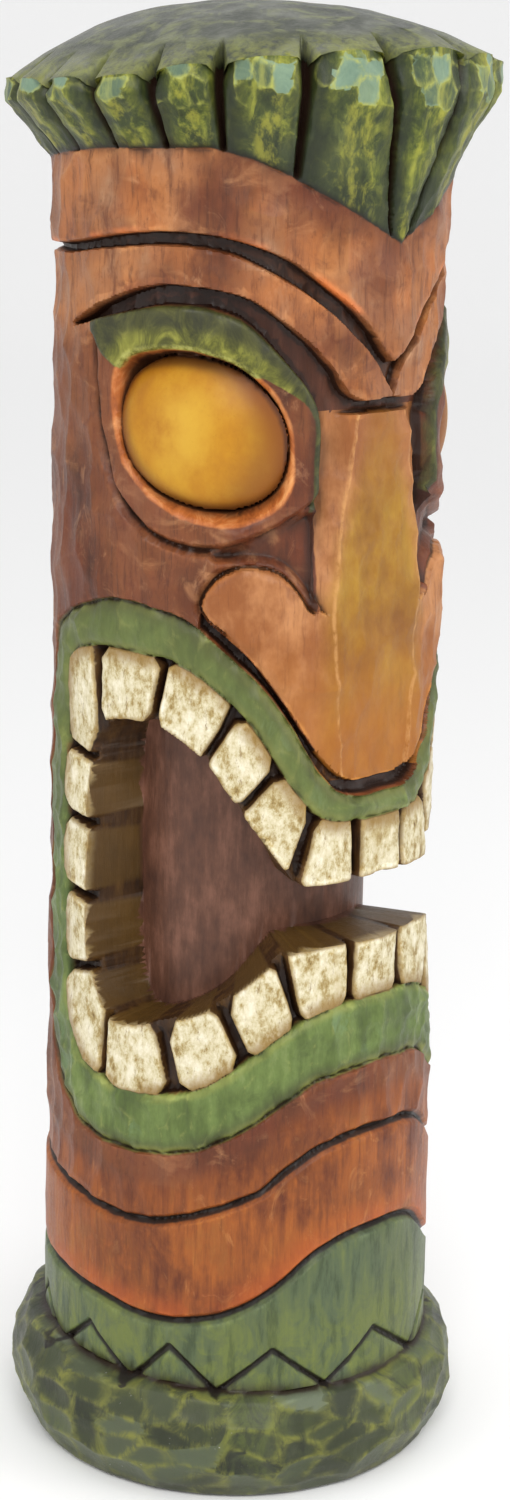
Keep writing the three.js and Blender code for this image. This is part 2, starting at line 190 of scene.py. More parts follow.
# Flats of the nose: half width at each height, and where its slanted sides meet the log

NOSE_HALF_WIDTH = np.array(
    [(NOSE_LOW, 46), (925, 64), (1006, 56), (NOSE_HIGH, 35), (1135, 35)], float
)
NOSE_FOOT = np.array([(NOSE_LOW, 150), (925, 189), (1006, 181), (NOSE_HIGH, 174)], float)
NOSE_FOOT_TURN = 24.5
WING_FLAT = np.array([(64, 191, 925), (46, 191, 750), (88, 184, 785), (132, 163, 925)], float)

# The eyeball
EYE_TURN, EYE_HEIGHT = 58.0, 1099.0
EYE_WIDTH, EYE_DEPTH, EYE_TALL, EYE_FRONT = 196.0, 130.0, 184.0, 205.0


# The grid, and measures on it. The carving is worked out for the figure's right half, and both
# sides share it. Hand work, such as gouge marks, is worked out all round.


def half_turns():
    fine = np.arange(0, FINE_UNTIL, FINE_TURN)
    coarse = np.linspace(FINE_UNTIL, 180, int((180 - FINE_UNTIL) / COARSE_TURN) + 1)
    return np.concatenate([fine, coarse])


def both(field):
    """A field of the right half, mirrored to go all the way round."""
    return np.concatenate([field, field[-2:0:-1]])


def smooth(x):
    x = np.clip(x, 0, 1)
    return x * x * (3 - 2 * x)


def at(table, x):
    return np.interp(x, table[:, 0], table[:, 1])


def across(half):
    """The outline of something that crosses the face, from its right half."""
    return np.concatenate([half, half[::-1] * (-1, 1)])


def softened(outline, times=2, closed=True):
    """An outline or a line with its corners cut, as a carver's hand leaves them."""
    for _ in range(times):
        after = np.roll(outline, -1, 0) if closed else outline[1:]
        before = outline if closed else outline[:-1]
        near_before, near_after = 0.78 * before + 0.22 * after, 0.22 * before + 0.78 * after
        cut = np.stack([near_before, near_after], 1).reshape(-1, 2)
        outline = cut if closed else np.concatenate([outline[:1], cut, outline[-1:]])
    return outline


def leaf_numbers(turn):
    """For each angle: its place across a leaf from -1 to 1, how far it is from a notch, and the
    leaf's number."""
    edges = np.concatenate([[-13.0], -13 + 2 * np.cumsum(LEAF_HALF_TURNS)])
    number = np.clip(np.searchsorted(edges, turn, side="right") - 1, 0, len(LEAF_HALF_TURNS) - 1)
    half = np.array(LEAF_HALF_TURNS)[number]
    across_leaf = (turn - (edges[number] + half)) / half
    from_notch = (1 - np.abs(across_leaf)) * half
    return across_leaf, from_notch, number


RIGHT = half_turns()
TIP = at(LEAF_TIP, RIGHT)
RIM = at(LEAF_TOP, RIGHT) - LEAF_TOP_ROUND * leaf_numbers(RIGHT)[0] ** 2

log_rows = np.arange(0, LEAVES_FROM, ROW)
leaf_rows = np.linspace(0, 1, int(185 / ROW))
dome_out = np.linspace(1, 0, DOME_ROWS + 1)[1:-1]
N_DOME = len(dome_out)

Z = np.concatenate(
    [
        np.repeat(log_rows[None], len(RIGHT), 0),
        LEAVES_FROM + leaf_rows[None] * (RIM[:, None] - LEAVES_FROM),
    ],
    1,
)
TURN = np.repeat(RIGHT[:, None], Z.shape[1], 1)
U = TURN * ARC
LOG = LOG_RADIUS + LOG_TAPER * (0.5 - Z / SHARED_HEIGHT)
# Distances to an outline or a line are measured no farther than this
REACH = 26.0


def inside(outline, rounds=2):
    """How far inside an outline each point is, in mm, and less than zero outside it."""
    px, pz = softened(outline, rounds).T * [[ARC], [1]]
    near = (U > px.min() - REACH) & (U < px.max() + REACH)
    near &= (Z > pz.min() - REACH) & (Z < pz.max() + REACH)
    u, z = U[near], Z[near]
    least = np.full(u.shape, 1e9)
    within = np.zeros(u.shape, bool)
    for (ax, az), (bx, bz) in zip(np.c_[px, pz], np.c_[np.roll(px, -1), np.roll(pz, -1)]):
        dx, dz = bx - ax, bz - az
        length = dx * dx + dz * dz
        if length < 1e-9:
            continue
        t = np.clip(((u - ax) * dx + (z - az) * dz) / length, 0, 1)
        least = np.minimum(least, (u - ax - t * dx) ** 2 + (z - az - t * dz) ** 2)
        if abs(dz) > 1e-9:
            within ^= ((az > z) != (bz > z)) & (u < ax + (z - az) * dx / dz)
    found = np.full(U.shape, -REACH)
    found[near] = np.where(within, 1, -1) * np.minimum(np.sqrt(least), REACH)
    return found


def beside(line, rounds=2):
    """How far each point is from a line, in mm."""
    found = np.full(U.shape, REACH)
    if rounds:
        line = softened(line, rounds, False)
    for (a, az), (b, bz) in zip(line[:-1], line[1:]):
        ax, bx = a * ARC, b * ARC
        near = (U > min(ax, bx) - REACH) & (U < max(ax, bx) + REACH)
        u, z = U[near], Z[near]
        dx, dz = bx - ax, bz - az
        t = np.clip(((u - ax) * dx + (z - az) * dz) / (dx * dx + dz * dz), 0, 1)
        found[near] = np.minimum(found[near], np.hypot(u - ax - t * dx, z - az - t * dz))
    return found


def over(line):
    """How far above a line that goes round the log each point is, in mm, squarely to the line."""
    height = at(softened(line, 2, False), RIGHT)
    slope = np.gradient(height, RIGHT * ARC)
    return (Z - height[:, None]) / np.sqrt(1 + slope[:, None] ** 2)


def step(distance, width=2.6):
    return smooth(distance / width + 0.5)


def mixed(under, upper, amount):
    return under * (1 - amount) + upper * amount


def rounded(distance, edge):
    """Nought well inside, falling to -1 at an outline, as a worn edge does."""
    return -((1 - np.clip(distance / edge, 0, 1)) ** 2)


def net(u, v, wide, tall, fewest):
    """A net of cells, wide by tall mm, that closes on itself round the log. Gives how many cells
    it has each way, each point's place in it and the cell that the point is in."""
    nu = max(fewest, int(round(AROUND_LOG / wide)))
    nv = int(math.ceil(NET_TALL / tall)) + 2
    x = u / AROUND_LOG * nu
    y = (v + NET_BELOW) / tall
    return nu, nv, x, y, np.floor(x).astype(int), np.floor(y).astype(int)


def value_noise(u, v, wide, tall, seed):
    """Smooth noise from -1 to 1 whose grains are wide by tall mm."""
    nu, nv, x, y, i, j = net(u, v, wide, tall, 2)
    table = np.random.default_rng(seed).uniform(-1, 1, (nu, nv))
    s, t = smooth(x - i), smooth(y - j)
    a = table[i % nu, j % nv] * (1 - s) + table[(i + 1) % nu, j % nv] * s
    b = table[i % nu, (j + 1) % nv] * (1 - s) + table[(i + 1) % nu, (j + 1) % nv] * s
    return a * (1 - t) + b * t


def gouges(u, v, wide, tall, seed):
    """The marks of a gouge: hollow cells with ridges between. Gives the height in a cell from 0
    to 1, the nearness of a ridge, each cell's own number from 0 to 1 and which cell it is."""
    nu, nv, x, y, i, j = net(u, v, wide, tall, 3)
    draws = np.random.default_rng(seed)
    jx, jy, own = (draws.uniform(0.12, 0.88, (nu, nv)) for _ in range(3))
    first = np.full(x.shape, 9.0)
    second = np.full(x.shape, 9.0)
    number = np.zeros(x.shape)
    which = np.zeros(x.shape, int)
    for di in (-1, 0, 1):
        for dj in (-1, 0, 1):
            ci, cj = i + di, j + dj
            d = (ci + jx[ci % nu, cj % nv] - x) ** 2 + (cj + jy[ci % nu, cj % nv] - y) ** 2
            closer = d < first
            second = np.where(closer, first, np.minimum(second, d))
            number = np.where(closer, own[ci % nu, cj % nv], number)
            which = np.where(closer, ci % nu * nv + cj % nv, which)
            first = np.where(closer, d, first)
    ridge = 1 - np.clip((np.sqrt(second) - np.sqrt(first)) / 0.35, 0, 1)
    return np.clip(first / 0.6, 0, 1), ridge, number, which


def mean_in_cells(field, which):
    """A field's mean over each cell, so that a whole facet takes one value."""
    cells = which.ravel()
    total = np.bincount(cells, field.ravel()) / np.maximum(np.bincount(cells), 1)
    return total[which]


def blurred(field, reach):
    """A field's mean over a square of points round each point."""
    wrapped = np.pad(field, ((reach, reach), (0, 0)), mode="wrap")
    wrapped = np.pad(wrapped, ((0, 0), (reach, reach)), mode="edge")
    total = np.pad(wrapped.cumsum(0).cumsum(1), ((1, 0), (1, 0)))
    n = 2 * reach + 1
    return (total[n:, n:] - total[:-n, n:] - total[n:, :-n] + total[:-n, :-n]) / n**2


# The carving of the face


def carve():
    """The radius of every point, and how far inside each painted field it is."""
    paint = {}
    r = LOG.copy()

    def lay(field, layer, width=2.6, edge=None):
        nonlocal r
        level = LOG + layer
        if edge:
            drop, reach = edge
            level = level + drop * rounded(field, reach)
        r = mixed(r, level, step(field, width))

    # The forehead's band and the groove that undercuts it
    band = over(BAND_EDGE)
    lay(band, BAND_STANDS, edge=BAND_WEAR)
    groove = np.minimum(over(BAND_GROOVE_EDGE), -band)
    tall = (at(BAND_EDGE, RIGHT) - at(BAND_GROOVE_EDGE, RIGHT))[:, None]
    r = mixed(r, LOG - GROOVE_DEPTH * smooth(tall / 9), step(groove, 2.2))
    paint["band"] = band
    paint["groove"] = groove

    # The nose's wings stand proud, and the lips lie over their lower edge
    wing = inside(across(WING))
    lay(wing, WING_STANDS, edge=SOFT_WEAR)
    lip_out, lip_in = inside(across(LIP_OUTER)), inside(across(LIP_INNER))
    mouth = inside(across(MOUTH))
    lip = np.minimum(lip_out, -lip_in)
    lay(lip_out, LIP_STANDS, edge=SOFT_WEAR)

    # Sockets, and the lids in them
    socket = inside(across(np.concatenate([BROW_EDGE, LID_EDGE[::-1], NOSE_SIDE])))
    lay(socket, -SOCKET_DEPTH)
    lid_edge = LID_EDGE[1:] + (-1, 6)
    lid = np.minimum(inside(np.concatenate([lid_edge, LID_INNER])), -socket)
    lay(np.minimum(lid, REACH), LID_STANDS, edge=LID_WEAR)
    valley = inside(VALLEY)
    lay(valley, -VALLEY_DEPTH, width=12)
    r = r - 8 * np.clip(1 - beside(WING_TOP) / 8, 0, 1) * (wing < 3)

    # Eyes
    opening = inside(EYE_OPENING)
    rim = step(opening, 2.2)
    steep = 1.5 + 1.6 * smooth((Z - 1110) / 50)
    r = r - 4 * np.clip(1 + opening / 9, 0, 1) ** 2 * (1 - rim)
    r = mixed(r, np.maximum(LOG - 5 - steep * np.maximum(opening, 0), LOG - POCKET_DEPTH), rim)
    delta = np.radians(TURN - EYE_TURN)
    seat = EYE_FRONT - EYE_DEPTH / 2
    a = (np.cos(delta) / (EYE_DEPTH / 2)) ** 2 + (np.sin(delta) / (EYE_WIDTH / 2)) ** 2
    b = -2 * seat * np.cos(delta) / (EYE_DEPTH / 2) ** 2
    c = (seat / (EYE_DEPTH / 2)) ** 2 + ((Z - EYE_HEIGHT) / (EYE_TALL / 2)) ** 2 - 1
    under = b * b - 4 * a * c
    farther = (-b + np.sqrt(np.maximum(under, 0))) / (2 * a)
    ball = np.where((under > 0) & (np.abs(delta) < 1), farther, 0)
    proud = ball - r
    paint["eye"] = np.where(opening > 0, np.clip(proud, -REACH, REACH), -REACH)
    r = np.maximum(r, ball) - 6 * np.clip(1 + proud / 6, 0, 1) * (proud < 0) * (opening > 0)
    r = r - 10 * np.clip(1 - beside(LOWER_LID) / 7, 0, 1) * (opening < 0)
    paint["opening"] = opening
    # Where the painted highlight on each eyeball is centred
    from_glint = np.hypot(U - (EYE_TURN + 6) * ARC, (Z - EYE_HEIGHT - 4) * 0.9)
    paint["from_glint"] = np.clip(from_glint, 0, 120)

    # Nose: a flat front, slanted sides, and flats on the wings
    x_front = at(NOSE_HALF_WIDTH, Z)
    foot = at(NOSE_FOOT, Z)
    turn = np.radians(TURN)
    foot_turn = math.radians(NOSE_FOOT_TURN)
    fx, fy = foot * math.sin(foot_turn), foot * math.cos(foot_turn)
    front = NOSE_FRONT / np.maximum(np.cos(turn), 0.2)
    on_front = (TURN < 45) & (np.tan(turn) * NOSE_FRONT < x_front)
    side = (x_front * fy - fx * NOSE_FRONT) / (
        np.sin(turn) * (fy - NOSE_FRONT) - np.cos(turn) * (fx - x_front) + 1e-9
    )
    nose = np.where(on_front, front, np.where(TURN < NOSE_FOOT_TURN, np.abs(side), 0))
    nose = np.where((Z > NOSE_LOW) & (Z < NOSE_HIGH), nose, 0)
    past_front = np.tan(np.minimum(turn, 1.2)) * NOSE_FRONT - x_front
    cut = step(-past_front, 2) * (Z > NOSE_LOW - 2) * (Z < NOSE_HIGH + 10)
    r = np.where(cut > 0.5, np.minimum(r, front), r)
    r = np.maximum(r, nose)
    spread = np.c_[np.ones(4), WING_FLAT[:, 0], WING_FLAT[:, 2]]
    k0, kx, kz = np.linalg.lstsq(spread, WING_FLAT[:, 1], rcond=None)[0]
    plane = (k0 + kz * Z) / np.maximum(np.cos(turn) - kx * np.sin(turn), 0.2)
    x_here = plane * np.sin(turn)
    within = (Z > 745) & (Z < 1005) & (x_here > x_front - 4) & (wing > -3) & (TURN < 62)
    r = np.where(within, np.minimum(r, plane), r)
    # A deep line between the wings' lower edge and the lip
    walls = smooth(np.minimum(-wing, -lip_out) / 3)
    near_both = smooth(np.minimum(1 + wing / 20, 1 + lip_out / 20) / 0.25)
    cleft = walls * near_both * (TURN < 58) * (Z < 945)
    r = np.where(cleft > 0, np.minimum(r, LOG - CLEFT_DEPTH * cleft), r)
    paint["cleft"] = cleft
    beside_foot = np.where(
        (Z > NOSE_LOW) & (Z < NOSE_HIGH + 2), (NOSE_FOOT_TURN - 1 - TURN) * ARC, -REACH
    )
    paint["nose"] = np.maximum(wing, beside_foot)
    fold = beside(shares((25.5, 617), (24.8, 650), (24.5, 700), (25, 745)))
    paint["fold"] = fold + 30 * (TURN < 24)
    paint["nose_side"] = np.clip(past_front, -REACH, 60)

    r = r - 5 * np.clip(1 + lip_in / 11, 0, 1) ** 2 * (lip > 0)

    # Mouth: gums, teeth, then the hollow down to the core
    r = mixed(r, LOG - GUM_DEPTH, step(lip_in, 3))
    outlines = [*map(across, MIDDLE_TEETH), *SIDE_TEETH]
    each = np.stack([inside(outline, 1) for outline in outlines])
    nearest = each.argmax(0)
    first, second = np.sort(each, 0)[-1:-3:-1]
    tooth = np.minimum(first + 3, (first - second) / 2 - 3.2)
    tilt = np.random.default_rng(41).uniform(-1, 1, (len(outlines), 2))
    middle = np.array([outline.mean(0) for outline in outlines])
    lean = (tilt[nearest, 0] * (U - middle[nearest, 0] * ARC) / 14
            + tilt[nearest, 1] * (Z - middle[nearest, 1]) / 16)
    level = LOG - TOOTH_DEPTH + np.clip(1.4 * lean, -3, 1.5) + 5 * rounded(tooth, 5)
    r = mixed(r, np.maximum(r, level), step(tooth, 2.2) * step(lip_in + 1, 2))
    r = mixed(r, CORE_RADIUS, step(mouth, 2.4))
    paint["tooth"] = np.minimum(np.minimum(tooth, -mouth), lip_in + 1)
    paint["mouth"] = mouth
    paint["any_tooth"] = tooth
    paint["gum"] = lip_in
    paint["lip"] = np.minimum(lip, REACH)
    lid_width = 7 + 55 * smooth((Z - 1115) / 105)
    paint["lid"] = np.minimum(np.minimum(lid, lid_width - beside(LID_EDGE)), 1 - opening)
    paint["socket"] = socket
    paint["rim"] = np.minimum(opening + 4, REACH)

    # Lines cut round the lower body
    for name, line, width, depth in (
        ("wave_1", UPPER_WAVE, 6.5, 7),
        ("wave_2", LOWER_WAVE, 7, 8),
        ("zigzag", ZIGZAG, 5, 5),
    ):
        away = beside(line, 0 if name == "zigzag" else 2)
        r = r - depth * np.clip(1 - away / width, 0, 1) ** 0.8
        paint[name + "_line"] = -away
    paint["wave_1"] = np.clip(over(UPPER_WAVE), -REACH * 2, REACH * 2)
    paint["wave_2"] = np.clip(over(LOWER_WAVE), -REACH * 2, REACH * 2)
    return r, paint


radius, paint = carve()

# Crown: leaves that lean outwards, with deep notches between them. The front leaf narrows to a
# point at its tip, and its neighbours spread to meet it.

tip, top = TIP[:, None], RIM[:, None]
up = np.clip((Z - tip) / (top - tip), 0, 1)
front_edge = 2.5 + 10.5 * up**0.8
spread = np.where(
    TURN < front_edge, TURN * 13 / front_edge, 13 + (TURN - front_edge) * 20 / (33 - front_edge)
)
spread = np.where(TURN < 33, spread, TURN)
across_leaf, from_notch, leaf_number = leaf_numbers(spread)
notch = 1 - smooth(from_notch / (1.2 + 1.3 * up))
wall = LOG_RADIUS + LOG_TAPER * (0.5 - tip / SHARED_HEIGHT) + 4
leaf_surface = wall + (CROWN_RADIUS - wall) * np.interp(up, (0, 0.3, 0.72, 1), (0, 0.38, 0.95, 1))
off_middle = np.abs(across_leaf + 0.15 * np.sin(7.0 * leaf_number))
paint["oval"] = np.clip(1 - (across_leaf / 0.6) ** 2 - ((up - 0.83) / 0.13) ** 2, -1, 1)
paint["leaf_side"] = off_middle
paint["leaf_edge"] = 1 - np.clip(np.abs(off_middle - LEAF_FLAT) / 0.09, 0, 1)
bevel = np.clip((off_middle - LEAF_FLAT) / 0.65, 0, 1)
leaf_surface = leaf_surface - NOTCH_DEPTH * notch * smooth(up / 0.12 + 0.25)
leaf_surface = leaf_surface - bevel * (3 + 8 * up)
leaf_surface = leaf_surface - 8 * smooth((up - 0.8) / 0.2) * (0.4 + 0.6 * np.abs(across_leaf))
radius = mixed(radius, leaf_surface, step(Z - tip, 2.4))
paint["crown"] = np.clip(Z - tip, -REACH, REACH)

# Foot: a lumpy ring of stone, and the log stands in it

behind = -np.cos(np.radians(RIGHT))
foot_radius = (FOOT_RADIUS + 3 * behind)[:, None]
foot_height = (FOOT_HEIGHT + FOOT_RISE_AT_BACK * (1 + behind) / 2)[:, None]
foot_up = Z / foot_height
FOOT_UP = (0, 0.04, 0.15, 0.32, 0.5, 0.76, 0.94, 1.0, 1.06)
FOOT_OUT = (0.87, 0.905, 0.945, 0.985, 1.0, 0.985, 0.925, 0.86, 0.8)
foot_surface = foot_radius * np.interp(foot_up, FOOT_UP, FOOT_OUT)
in_foot = foot_up < 1.03
paint["foot"] = np.clip(np.where(foot_up < 1.06, foot_surface - radius, -REACH), -REACH, REACH)
radius = np.where(in_foot, np.maximum(radius, foot_surface), radius)

# Both sides, then the hand work all round

R = both(radius)
ZZ = both(Z)
PAINT = {name: both(field) for name, field in paint.items()}
ALL_TURNS = np.concatenate([RIGHT, 360 - RIGHT[-2:0:-1]])
UU = np.repeat((ALL_TURNS * ARC)[:, None], ZZ.shape[1], 1)

wobble_u = UU + 9 * value_noise(UU, ZZ, 60, 60, 1)
wobble_z = ZZ + 9 * value_noise(UU, ZZ, 60, 60, 2)
wood_cell, wood_ridge, wood_own, _ = gouges(wobble_u, wobble_z, *WOOD_GOUGE, 3)
small_cell, small_ridge, small_own, _ = gouges(wobble_u, wobble_z, *SMALL_GOUGE, 4)
leaf_cell, leaf_ridge, leaf_own, leaf_facet = gouges(wobble_u, wobble_z, *LEAF_GOUGE, 14)
stone_z = ZZ * 1.05 + 6 * value_noise(UU, ZZ, 40, 40, 7)
stone_cell, stone_ridge, stone_own, _ = gouges(wobble_u, stone_z, *STONE_GOUGE, 5)
lumps = value_noise(UU, ZZ, 70, 90, 6)
PAINT["oval"] = mean_in_cells(PAINT["oval"], leaf_facet)

is_foot = step(PAINT["foot"], 3)
is_crown = step(PAINT["crown"], 3)
is_eye = step(PAINT["eye"], 2)
is_tooth = step(PAINT["tooth"], 3)
is_mouth = step(PAINT["mouth"], 3)
is_lip = step(PAINT["lip"], 3)
is_body = (1 - is_foot) * (1 - is_crown) * (1 - is_eye) * (1 - is_tooth) * (1 - is_mouth)
is_smooth = step(-PAINT["wave_1"], 4)
is_nose = step(PAINT["nose"], 4)

R = R - is_body * (1 - is_smooth) * (WOOD_CUT * (1 - wood_cell) + 1.6 * (lumps + 1))
R = R - is_body * is_smooth * (LOW_WOOD_CUT * (1 - wood_cell) + 1.2 * (lumps + 1))
R = R - is_nose * NOSE_CUT * (1 - small_cell)
R = R - is_lip * LIP_CUT * (1 - small_cell)
R = R - is_foot * (STONE_CUT * (1 - stone_cell) + 1.5 * (lumps + 1)) * smooth(ZZ / 14)
R = R - is_crown * LEAF_CUT * (1 - leaf_cell)
R = R - is_tooth * (TOOTH_CUT * (1 - small_cell) + 0.8 * np.abs(value_noise(UU, ZZ, 7, 9, 8)))
R = R - is_mouth * 0.8 * (1 + value_noise(UU, ZZ, 60, 160, 9))
R = np.minimum(R, WIDEST)

# How far a point lies below or above what is round it, for the dark wash and painted shade in the
# hollows, and for the lighter paint and painted highlight on the edges
hollow_fine = np.clip(blurred(R, 3) - R, -8, 8)
hollow_wide = np.clip(blurred(R, 12) - R, -20, 20)
clear_of_mouth = 1 - step(PAINT["mouth"] + 3.5, 2)
hollow_fine, hollow_wide = hollow_fine * clear_of_mouth, hollow_wide * clear_of_mouth

# The dome above the leaves

edge_radius = R[:, -1]
edge_height = both(RIM[:, None])
smooth_height = both(at(LEAF_TOP, RIGHT)[:, None])
out = dome_out[None]
fade = smooth((out - 0.82) / 0.18)
claw = 1 - smooth(both(from_notch[:, -1:]) / (0.3 + 2.3 * fade))
rim_radius = CROWN_RADIUS - 7
short_of_rim = (np.minimum(edge_radius, rim_radius) - rim_radius)[:, None]
dome_r = out * rim_radius + short_of_rim * fade * claw
dome_u = np.repeat(UU[:, :1], N_DOME, 1)
dome_net = gouges(dome_u * 0.6, out * 240 + 0 * dome_u, *DOME_GOUGE, 12)
dome_cell, dome_ridge, dome_own, _ = dome_net
dome_z = HEIGHT - (HEIGHT - smooth_height - (edge_height - smooth_height) * fade) * out**2.4
dome_z = dome_z - 12 * claw * fade
dome_z = dome_z - DOME_CUT * (1 - dome_cell) * smooth(out / 0.3)

R = np.concatenate([R, dome_r], 1)
ZZ = np.concatenate([ZZ, dome_z], 1)
ANGLE = np.radians(np.repeat(ALL_TURNS[:, None], R.shape[1], 1))


def onto_dome(field, value):
    return np.concatenate([field, np.full((len(ALL_TURNS), N_DOME), float(value))], 1)


rim_up = np.concatenate([both(up) * 0.9, 1 + (1 - np.repeat(out, len(ALL_TURNS), 0))], 1)
fields = {name: onto_dome(field, -REACH) for name, field in PAINT.items()}
fields["crown"] = onto_dome(PAINT["crown"], REACH)
fields["band"] = onto_dome(PAINT["band"], REACH)
fields["wave_1"] = onto_dome(PAINT["wave_1"], 2 * REACH)
fields["wave_2"] = onto_dome(PAINT["wave_2"], 2 * REACH)
fields["leaf_up"] = rim_up
fields["notch"] = np.concatenate([both(notch), claw * fade], 1)
fields["hollow"] = onto_dome(hollow_fine, 0)
fields["hollow_wide"] = onto_dome(hollow_wide, 0)
ridge = mixed(mixed(small_ridge, leaf_ridge, is_crown), stone_ridge, is_foot)
fields["ridge"] = np.concatenate([ridge, dome_ridge], 1)
fields["wood_ridge"] = onto_dome(wood_ridge, 0)
fields["height"] = ZZ
own = mixed(mixed(small_own, leaf_own, is_crown), stone_own, is_foot)
fields["cell"] = np.concatenate([own, np.broadcast_to(dome_own, (len(own), N_DOME))], 1)
fields["wood_cell"] = onto_dome(wood_own, 0.5)


# The mesh


def skin():
    columns, rows = R.shape
    points = np.empty((columns * rows + 2, 3))
    points[:-2, 0] = (-R * np.sin(ANGLE)).ravel()
    points[:-2, 1] = (-R * np.cos(ANGLE)).ravel()
    points[:-2, 2] = ZZ.ravel()
    points[-2] = (0, 0, 0)
    points[-1] = (0, 0, HEIGHT)
    points /= 1000
    i, j = np.meshgrid(np.arange(columns), np.arange(rows - 1), indexing="ij")
    here, across_one = i * rows + j, (i + 1) % columns * rows + j
    quads = np.stack([here, here + 1, across_one + 1, across_one], -1).reshape(-1, 4)
    ring = np.arange(columns)
    after = (ring + 1) % columns
    bottom_point = np.full(columns, columns * rows)
    bottom = np.stack([bottom_point, ring * rows, after * rows], -1)
    dome = np.stack([bottom_point + 1, after * rows + rows - 1, ring * rows + rows - 1], -1)
    triangles = np.concatenate([bottom, dome])
    mesh = bpy.data.meshes.new("tiki_skin")
    mesh.vertices.add(len(points))
    mesh.vertices.foreach_set("co", points.astype(np.float32).ravel())
    corners = np.concatenate([quads.ravel(), triangles.ravel()]).astype(np.int32)
    mesh.loops.add(len(corners))
    mesh.loops.foreach_set("vertex_index", corners)
    first_triangle = len(quads) * 4
    starts = np.concatenate(
        [np.arange(len(quads)) * 4, first_triangle + np.arange(len(triangles)) * 3]
    )
    mesh.polygons.add(len(starts))
    mesh.polygons.foreach_set("loop_start", starts.astype(np.int32))
    mesh.update(calc_edges=True)
    for name, field in fields.items():
        values = np.concatenate([field.ravel(), [field[:, 0].mean(), field[:, -1].mean()]])
        attribute = mesh.attributes.new(name, "FLOAT", "POINT")
        attribute.data.foreach_set("value", values.astype(np.float32))
    return mesh


def applied(thing):
    """The thing with its modifiers made real."""
    shown = thing.evaluated_get(bpy.context.evaluated_depsgraph_get())
    mesh = bpy.data.meshes.new_from_object(shown)
    thing.modifiers.clear()
    thing.data = mesh
    return thing


statue = bpy.data.objects.new("tiki_statue_skin", skin())
bpy.context.collection.objects.link(statue)
fewer = statue.modifiers.new("fewer", "DECIMATE")
fewer.ratio = TRIANGLES / (2 * (R.shape[0] * (R.shape[1] - 1)) + 2 * R.shape[0])
applied(statue)
statue.data.shade_smooth()
statue.data.set_sharp_from_angle(angle=math.radians(48))


# Paint


def linear(code):
    """A colour from its usual six-figure code, as the shader's light values."""
    parts = [int(code[i : i + 2], 16) / 255 for i in (0, 2, 4)]
    return (*((p / 12.92 if p <= 0.04045 else ((p + 0.055) / 1.055) ** 2.4) for p in parts), 1)


class Paint:
    """Short ways to make a material's nodes."""

    def __init__(self, name):
        self.material = bpy.data.materials.new(name)
        self.material.use_nodes = True
        self.tree = self.material.node_tree
        self.shader = self.tree.nodes["Principled BSDF"]
        self.place = self.node("ShaderNodeTexCoord").outputs["Object"]

    def node(self, kind, **settings):
        made = self.tree.nodes.new(kind)
        for name, value in settings.items():
            setattr(made, name, value)
        return made

    def put(self, value, socket):
        if isinstance(value, bpy.types.NodeSocket):
            self.tree.links.new(value, socket)
        else:
            socket.default_value = value

    def math(self, operation, *values):
        made = self.node("ShaderNodeMath", operation=operation)
        for value, socket in zip(values, made.inputs):
            self.put(value, socket)
        return made.outputs[0]

    def field(self, name):
        return self.node("ShaderNodeAttribute", attribute_name=name).outputs["Fac"]

    def noise(self, size, detail=4.0, stretch=(1, 1, 1), rough=0.55, twist=0.0):
        """Noise from 0 to 1, whose grains are size metres across before they are stretched."""
        mapping = self.node("ShaderNodeMapping")
        mapping.inputs["Scale"].default_value = [1 / s for s in stretch]
        self.put(self.place, mapping.inputs["Vector"])
        made = self.node("ShaderNodeTexNoise")
        self.put(mapping.outputs[0], made.inputs["Vector"])
        made.inputs["Scale"].default_value = 1 / size
        made.inputs["Detail"].default_value = detail
        made.inputs["Roughness"].default_value = rough
        made.inputs["Distortion"].default_value = twist
        return made.outputs["Fac"]

    def between(self, value, low, high, to=(0.0, 1.0)):
        """Takes a value from low to high, smoothly, to another range."""
        made = self.node("ShaderNodeMapRange", interpolation_type="SMOOTHSTEP")
        for name, number in zip(("From Min", "From Max", "To Min", "To Max"), (low, high, *to)):
            made.inputs[name].default_value = number
        self.put(value, made.inputs["Value"])
        return made.outputs[0]

    def mix(self, amount, under, upper, blend="MIX"):
        made = self.node("ShaderNodeMix", data_type="RGBA", blend_type=blend)
        colours = [s for s in made.inputs if s.type == "RGBA"]
        self.put(amount, made.inputs["Factor"])
        self.put(linear(under) if isinstance(under, str) else under, colours[0])
        self.put(linear(upper) if isinstance(upper, str) else upper, colours[1])
        return next(s for s in made.outputs if s.type == "RGBA")

    def colours(self, value, *stops):
        """A colour from a value, through (value, colour code) stops."""
        made = self.node("ShaderNodeValToRGB")
        ramp = made.color_ramp
        while len(ramp.elements) < len(stops):
            ramp.elements.new(0.5)
        for element, (where, code) in zip(ramp.elements, stops):
            element.position = where
            element.color = linear(code)
        self.put(value, made.inputs["Fac"])
        return made.outputs["Color"]

    def times(self, *values):
        total = values[0]
        for value in values[1:]:
            total = self.math("MULTIPLY", total, value)
        return total


